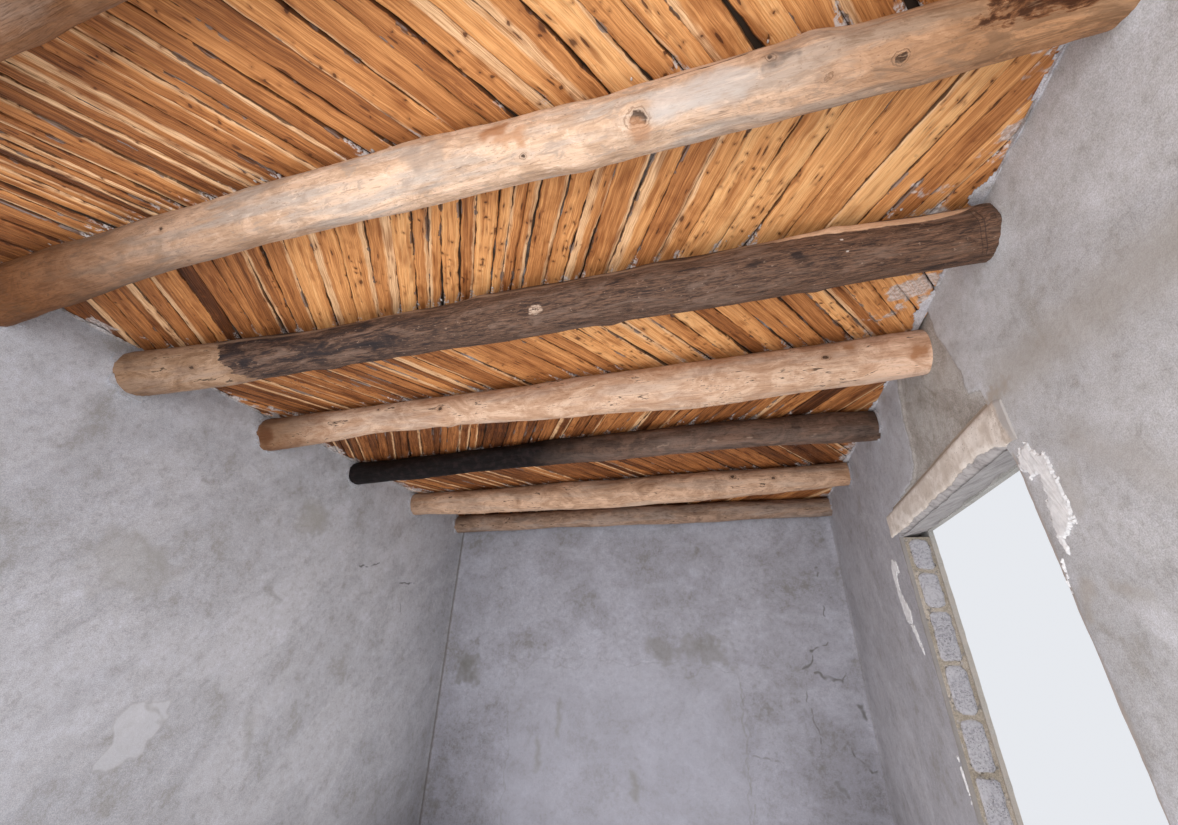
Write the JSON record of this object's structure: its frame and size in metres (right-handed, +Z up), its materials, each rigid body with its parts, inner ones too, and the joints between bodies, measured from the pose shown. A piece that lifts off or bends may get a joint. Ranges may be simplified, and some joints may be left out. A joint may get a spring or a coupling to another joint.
{
  "type": "log-roofed room section",
  "caption": "Open-fronted room section: rendered block walls with a doorway carry a roof of crooked logs and slantwise split-wood slats under an earth layer.",
  "frame": {"origin": "on the ground, under the middle of the plan", "axes": "+X across the room towards the doorway wall, +Y from the open front to the back wall, +Z up"},
  "size_m": [3.65, 4.45, 2.875],
  "materials": {
    "block": "rough porous concrete block with mortar joints",
    "render": "trowelled cement render, stained",
    "outer_render": "coarse cement render",
    "lintel": "smooth mortar face with a rough board-marked underside",
    "mortar": "rough brownish mortar",
    "log": "peeled crooked log, weathered",
    "slat": "split wood with pale live edges",
    "roof_layer": "earth with a cement skin"
  },
  "bodies": {
    "root": {"left_wall": "block", "left_wall_inner_render": "render", "left_wall_outer_render": "outer_render", "back_wall": "block", "back_wall_inner_render": "render", "back_wall_outer_render": "outer_render", "right_wall_far_pier": "block", "right_wall_near_pier": "block", "right_wall_over_door": "block", "door_lintel": "lintel", "far_pier_inner_render": "render", "near_pier_inner_render": "render", "over_door_inner_render": "render", "over_door_patch": "mortar", "far_pier_outer_render": "outer_render", "near_pier_outer_render": "outer_render", "over_door_outer_render": "outer_render", "log_1": "log", "log_2": "log", "log_3": "log", "log_4": "log", "log_5": "log", "log_6": "log", "log_7": "log", "slat_deck_1": "slat", "slat_deck_2": "slat", "slat_deck_3": "slat", "slat_deck_4": "slat", "slat_deck_5": "slat", "slat_deck_6": "slat", "roof_layer": "roof_layer"}
  },
  "joints": []
}
